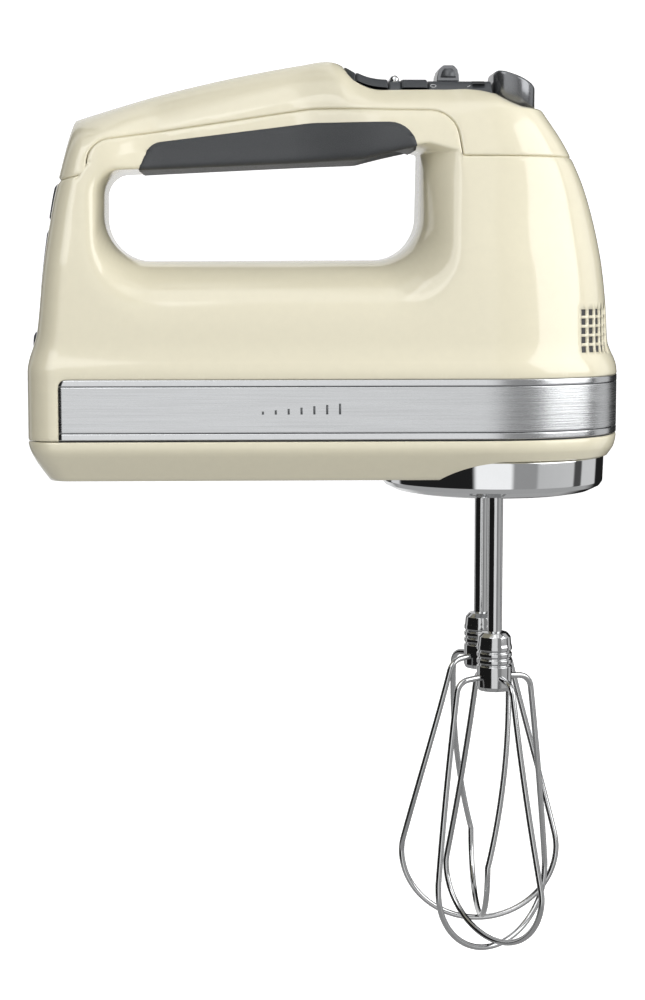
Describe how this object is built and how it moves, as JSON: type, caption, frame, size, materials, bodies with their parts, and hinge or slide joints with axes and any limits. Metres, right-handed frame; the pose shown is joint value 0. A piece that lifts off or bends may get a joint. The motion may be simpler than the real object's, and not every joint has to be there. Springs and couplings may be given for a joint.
{
  "type": "hand mixer",
  "caption": "Corded hand mixer with a loop handle, slide switch, speed keys, ejector button and two counter-rotating wire beaters.",
  "frame": {"origin": "middle of the flat heel face at the rear, on which the mixer can be parked upright", "axes": "+X from the heel to the nose, +Z from the beaters up to the handle, +Y to the left of someone holding it"},
  "size_m": [0.2009, 0.095, 0.3072],
  "materials": {
    "cream_shell": "glossy moulded almond cream",
    "brushed_band": "lengthwise brushed, polished edges",
    "soft_rubber": "fine matt texture",
    "dark_controls": "satin dark grey",
    "dark_fittings": "plain moulded",
    "metallic_button": "dark silver metallic lacquer",
    "chrome_collar": "mirror chrome",
    "polished_wire": "polished stainless steel",
    "machined_steel": "machined",
    "die_cast_alloy": "as cast",
    "lamination_iron": "stacked sheet edges",
    "copper_winding": "enamelled wire",
    "sintered_bronze": "sintered",
    "brush_carbon": "pressed carbon",
    "gear_nylon": "moulded natural nylon",
    "circuit_board": "solder mask"
  },
  "bodies": {
    "body": {"main_housing": "cream_shell", "top_cover": "cream_shell", "lower_housing": "cream_shell", "trim_band": "brushed_band", "soft_grip": "soft_rubber", "control_panel": "dark_controls", "speed_light": "chrome_collar", "rear_panel": "soft_rubber", "cord_inlet": "soft_rubber", "beater_collar": "chrome_collar", "housing_screw_1": "machined_steel", "housing_screw_2": "machined_steel", "housing_screw_3": "machined_steel", "housing_screw_4": "machined_steel", "ejector_guide": "dark_fittings", "ejector_spring": "machined_steel", "motor_stator": "lamination_iron", "field_coils": "copper_winding", "rear_field_coils": "copper_winding", "left_brush": "brush_carbon", "right_brush": "brush_carbon", "left_brush_holder": "sintered_bronze", "right_brush_holder": "sintered_bronze", "rear_bearing": "sintered_bronze", "front_bearing": "sintered_bronze", "nose_bearing": "sintered_bronze", "rear_bracket": "dark_fittings", "gear_frame": "die_cast_alloy", "gear_cover": "die_cast_alloy", "gear_case_screw_1": "machined_steel", "gear_case_screw_2": "machined_steel", "left_lower_bush": "sintered_bronze", "left_upper_bush": "sintered_bronze", "right_lower_bush": "sintered_bronze", "right_upper_bush": "sintered_bronze", "motor_cradle": "dark_fittings", "speed_board": "circuit_board"},
    "rotor": {"motor_shaft": "machined_steel", "armature_core": "lamination_iron", "armature_windings": "copper_winding", "rear_armature_windings": "copper_winding", "commutator": "copper_winding", "cooling_fan": "dark_fittings"},
    "left_spindle": {"left_spindle": "machined_steel", "left_worm_wheel": "gear_nylon"},
    "right_spindle": {"right_spindle": "machined_steel", "right_worm_wheel": "gear_nylon"},
    "left_beater": {"left_beater_shaft": "polished_wire", "left_beater_ferrule": "polished_wire", "left_inner_loop": "polished_wire", "left_outer_loop": "polished_wire"},
    "right_beater": {"right_beater_shaft": "polished_wire", "right_beater_ferrule": "polished_wire", "right_inner_loop": "polished_wire", "right_outer_loop": "polished_wire"},
    "ejector": {"ejector_button": "metallic_button", "ejector_yoke": "machined_steel"},
    "down_key": {"speed_down_key": "dark_controls"},
    "up_key": {"speed_up_key": "dark_controls"},
    "power_slide": {"power_slide": "dark_controls"}
  },
  "joints": [
    {"name": "motor_spin", "type": "hinge", "parent": "body", "child": "rotor", "pos_m": [0.1, 0, 0.008], "axis": [1, 0, 0], "continuous": true},
    {"name": "left_spindle_spin", "type": "hinge", "parent": "body", "child": "left_spindle", "pos_m": [0.1575, 0.021, 0.008], "axis": [0, 0, 1], "continuous": true},
    {"name": "right_spindle_spin", "type": "hinge", "parent": "body", "child": "right_spindle", "pos_m": [0.1575, -0.021, 0.008], "axis": [0, 0, 1], "continuous": true},
    {"name": "ejector_press", "type": "slide", "parent": "body", "child": "ejector", "axis": [0, 0, -1], "range_m": [0, 0.007], "stiffness_N_per_m": 500, "springref_m": -0.006, "deforming": ["ejector_spring"]},
    {"name": "left_beater_eject", "type": "slide", "parent": "left_spindle", "child": "left_beater", "axis": [0, 0, -1], "range_m": [0, 0.007]},
    {"name": "right_beater_eject", "type": "slide", "parent": "right_spindle", "child": "right_beater", "axis": [0, 0, -1], "range_m": [0, 0.007]},
    {"name": "speed_down_press", "type": "slide", "parent": "body", "child": "down_key", "axis": [0, 0, -1], "range_m": [0, 0.0009], "stiffness_N_per_m": 1500, "springref_m": -0.0006},
    {"name": "speed_up_press", "type": "slide", "parent": "body", "child": "up_key", "axis": [0, 0, -1], "range_m": [0, 0.0009], "stiffness_N_per_m": 1500, "springref_m": -0.0006},
    {"name": "power_slide_move", "type": "slide", "parent": "body", "child": "power_slide", "axis": [1, 0, 0], "range_m": [0, 0.008]}
  ],
  "couplings": [
    {"joint": "left_spindle_spin", "follows": "motor_spin", "ratio": -0.03125},
    {"joint": "right_spindle_spin", "follows": "motor_spin", "ratio": 0.03125},
    {"joint": "left_beater_eject", "follows": "ejector_press", "ratio": 1},
    {"joint": "right_beater_eject", "follows": "ejector_press", "ratio": 1}
  ]
}
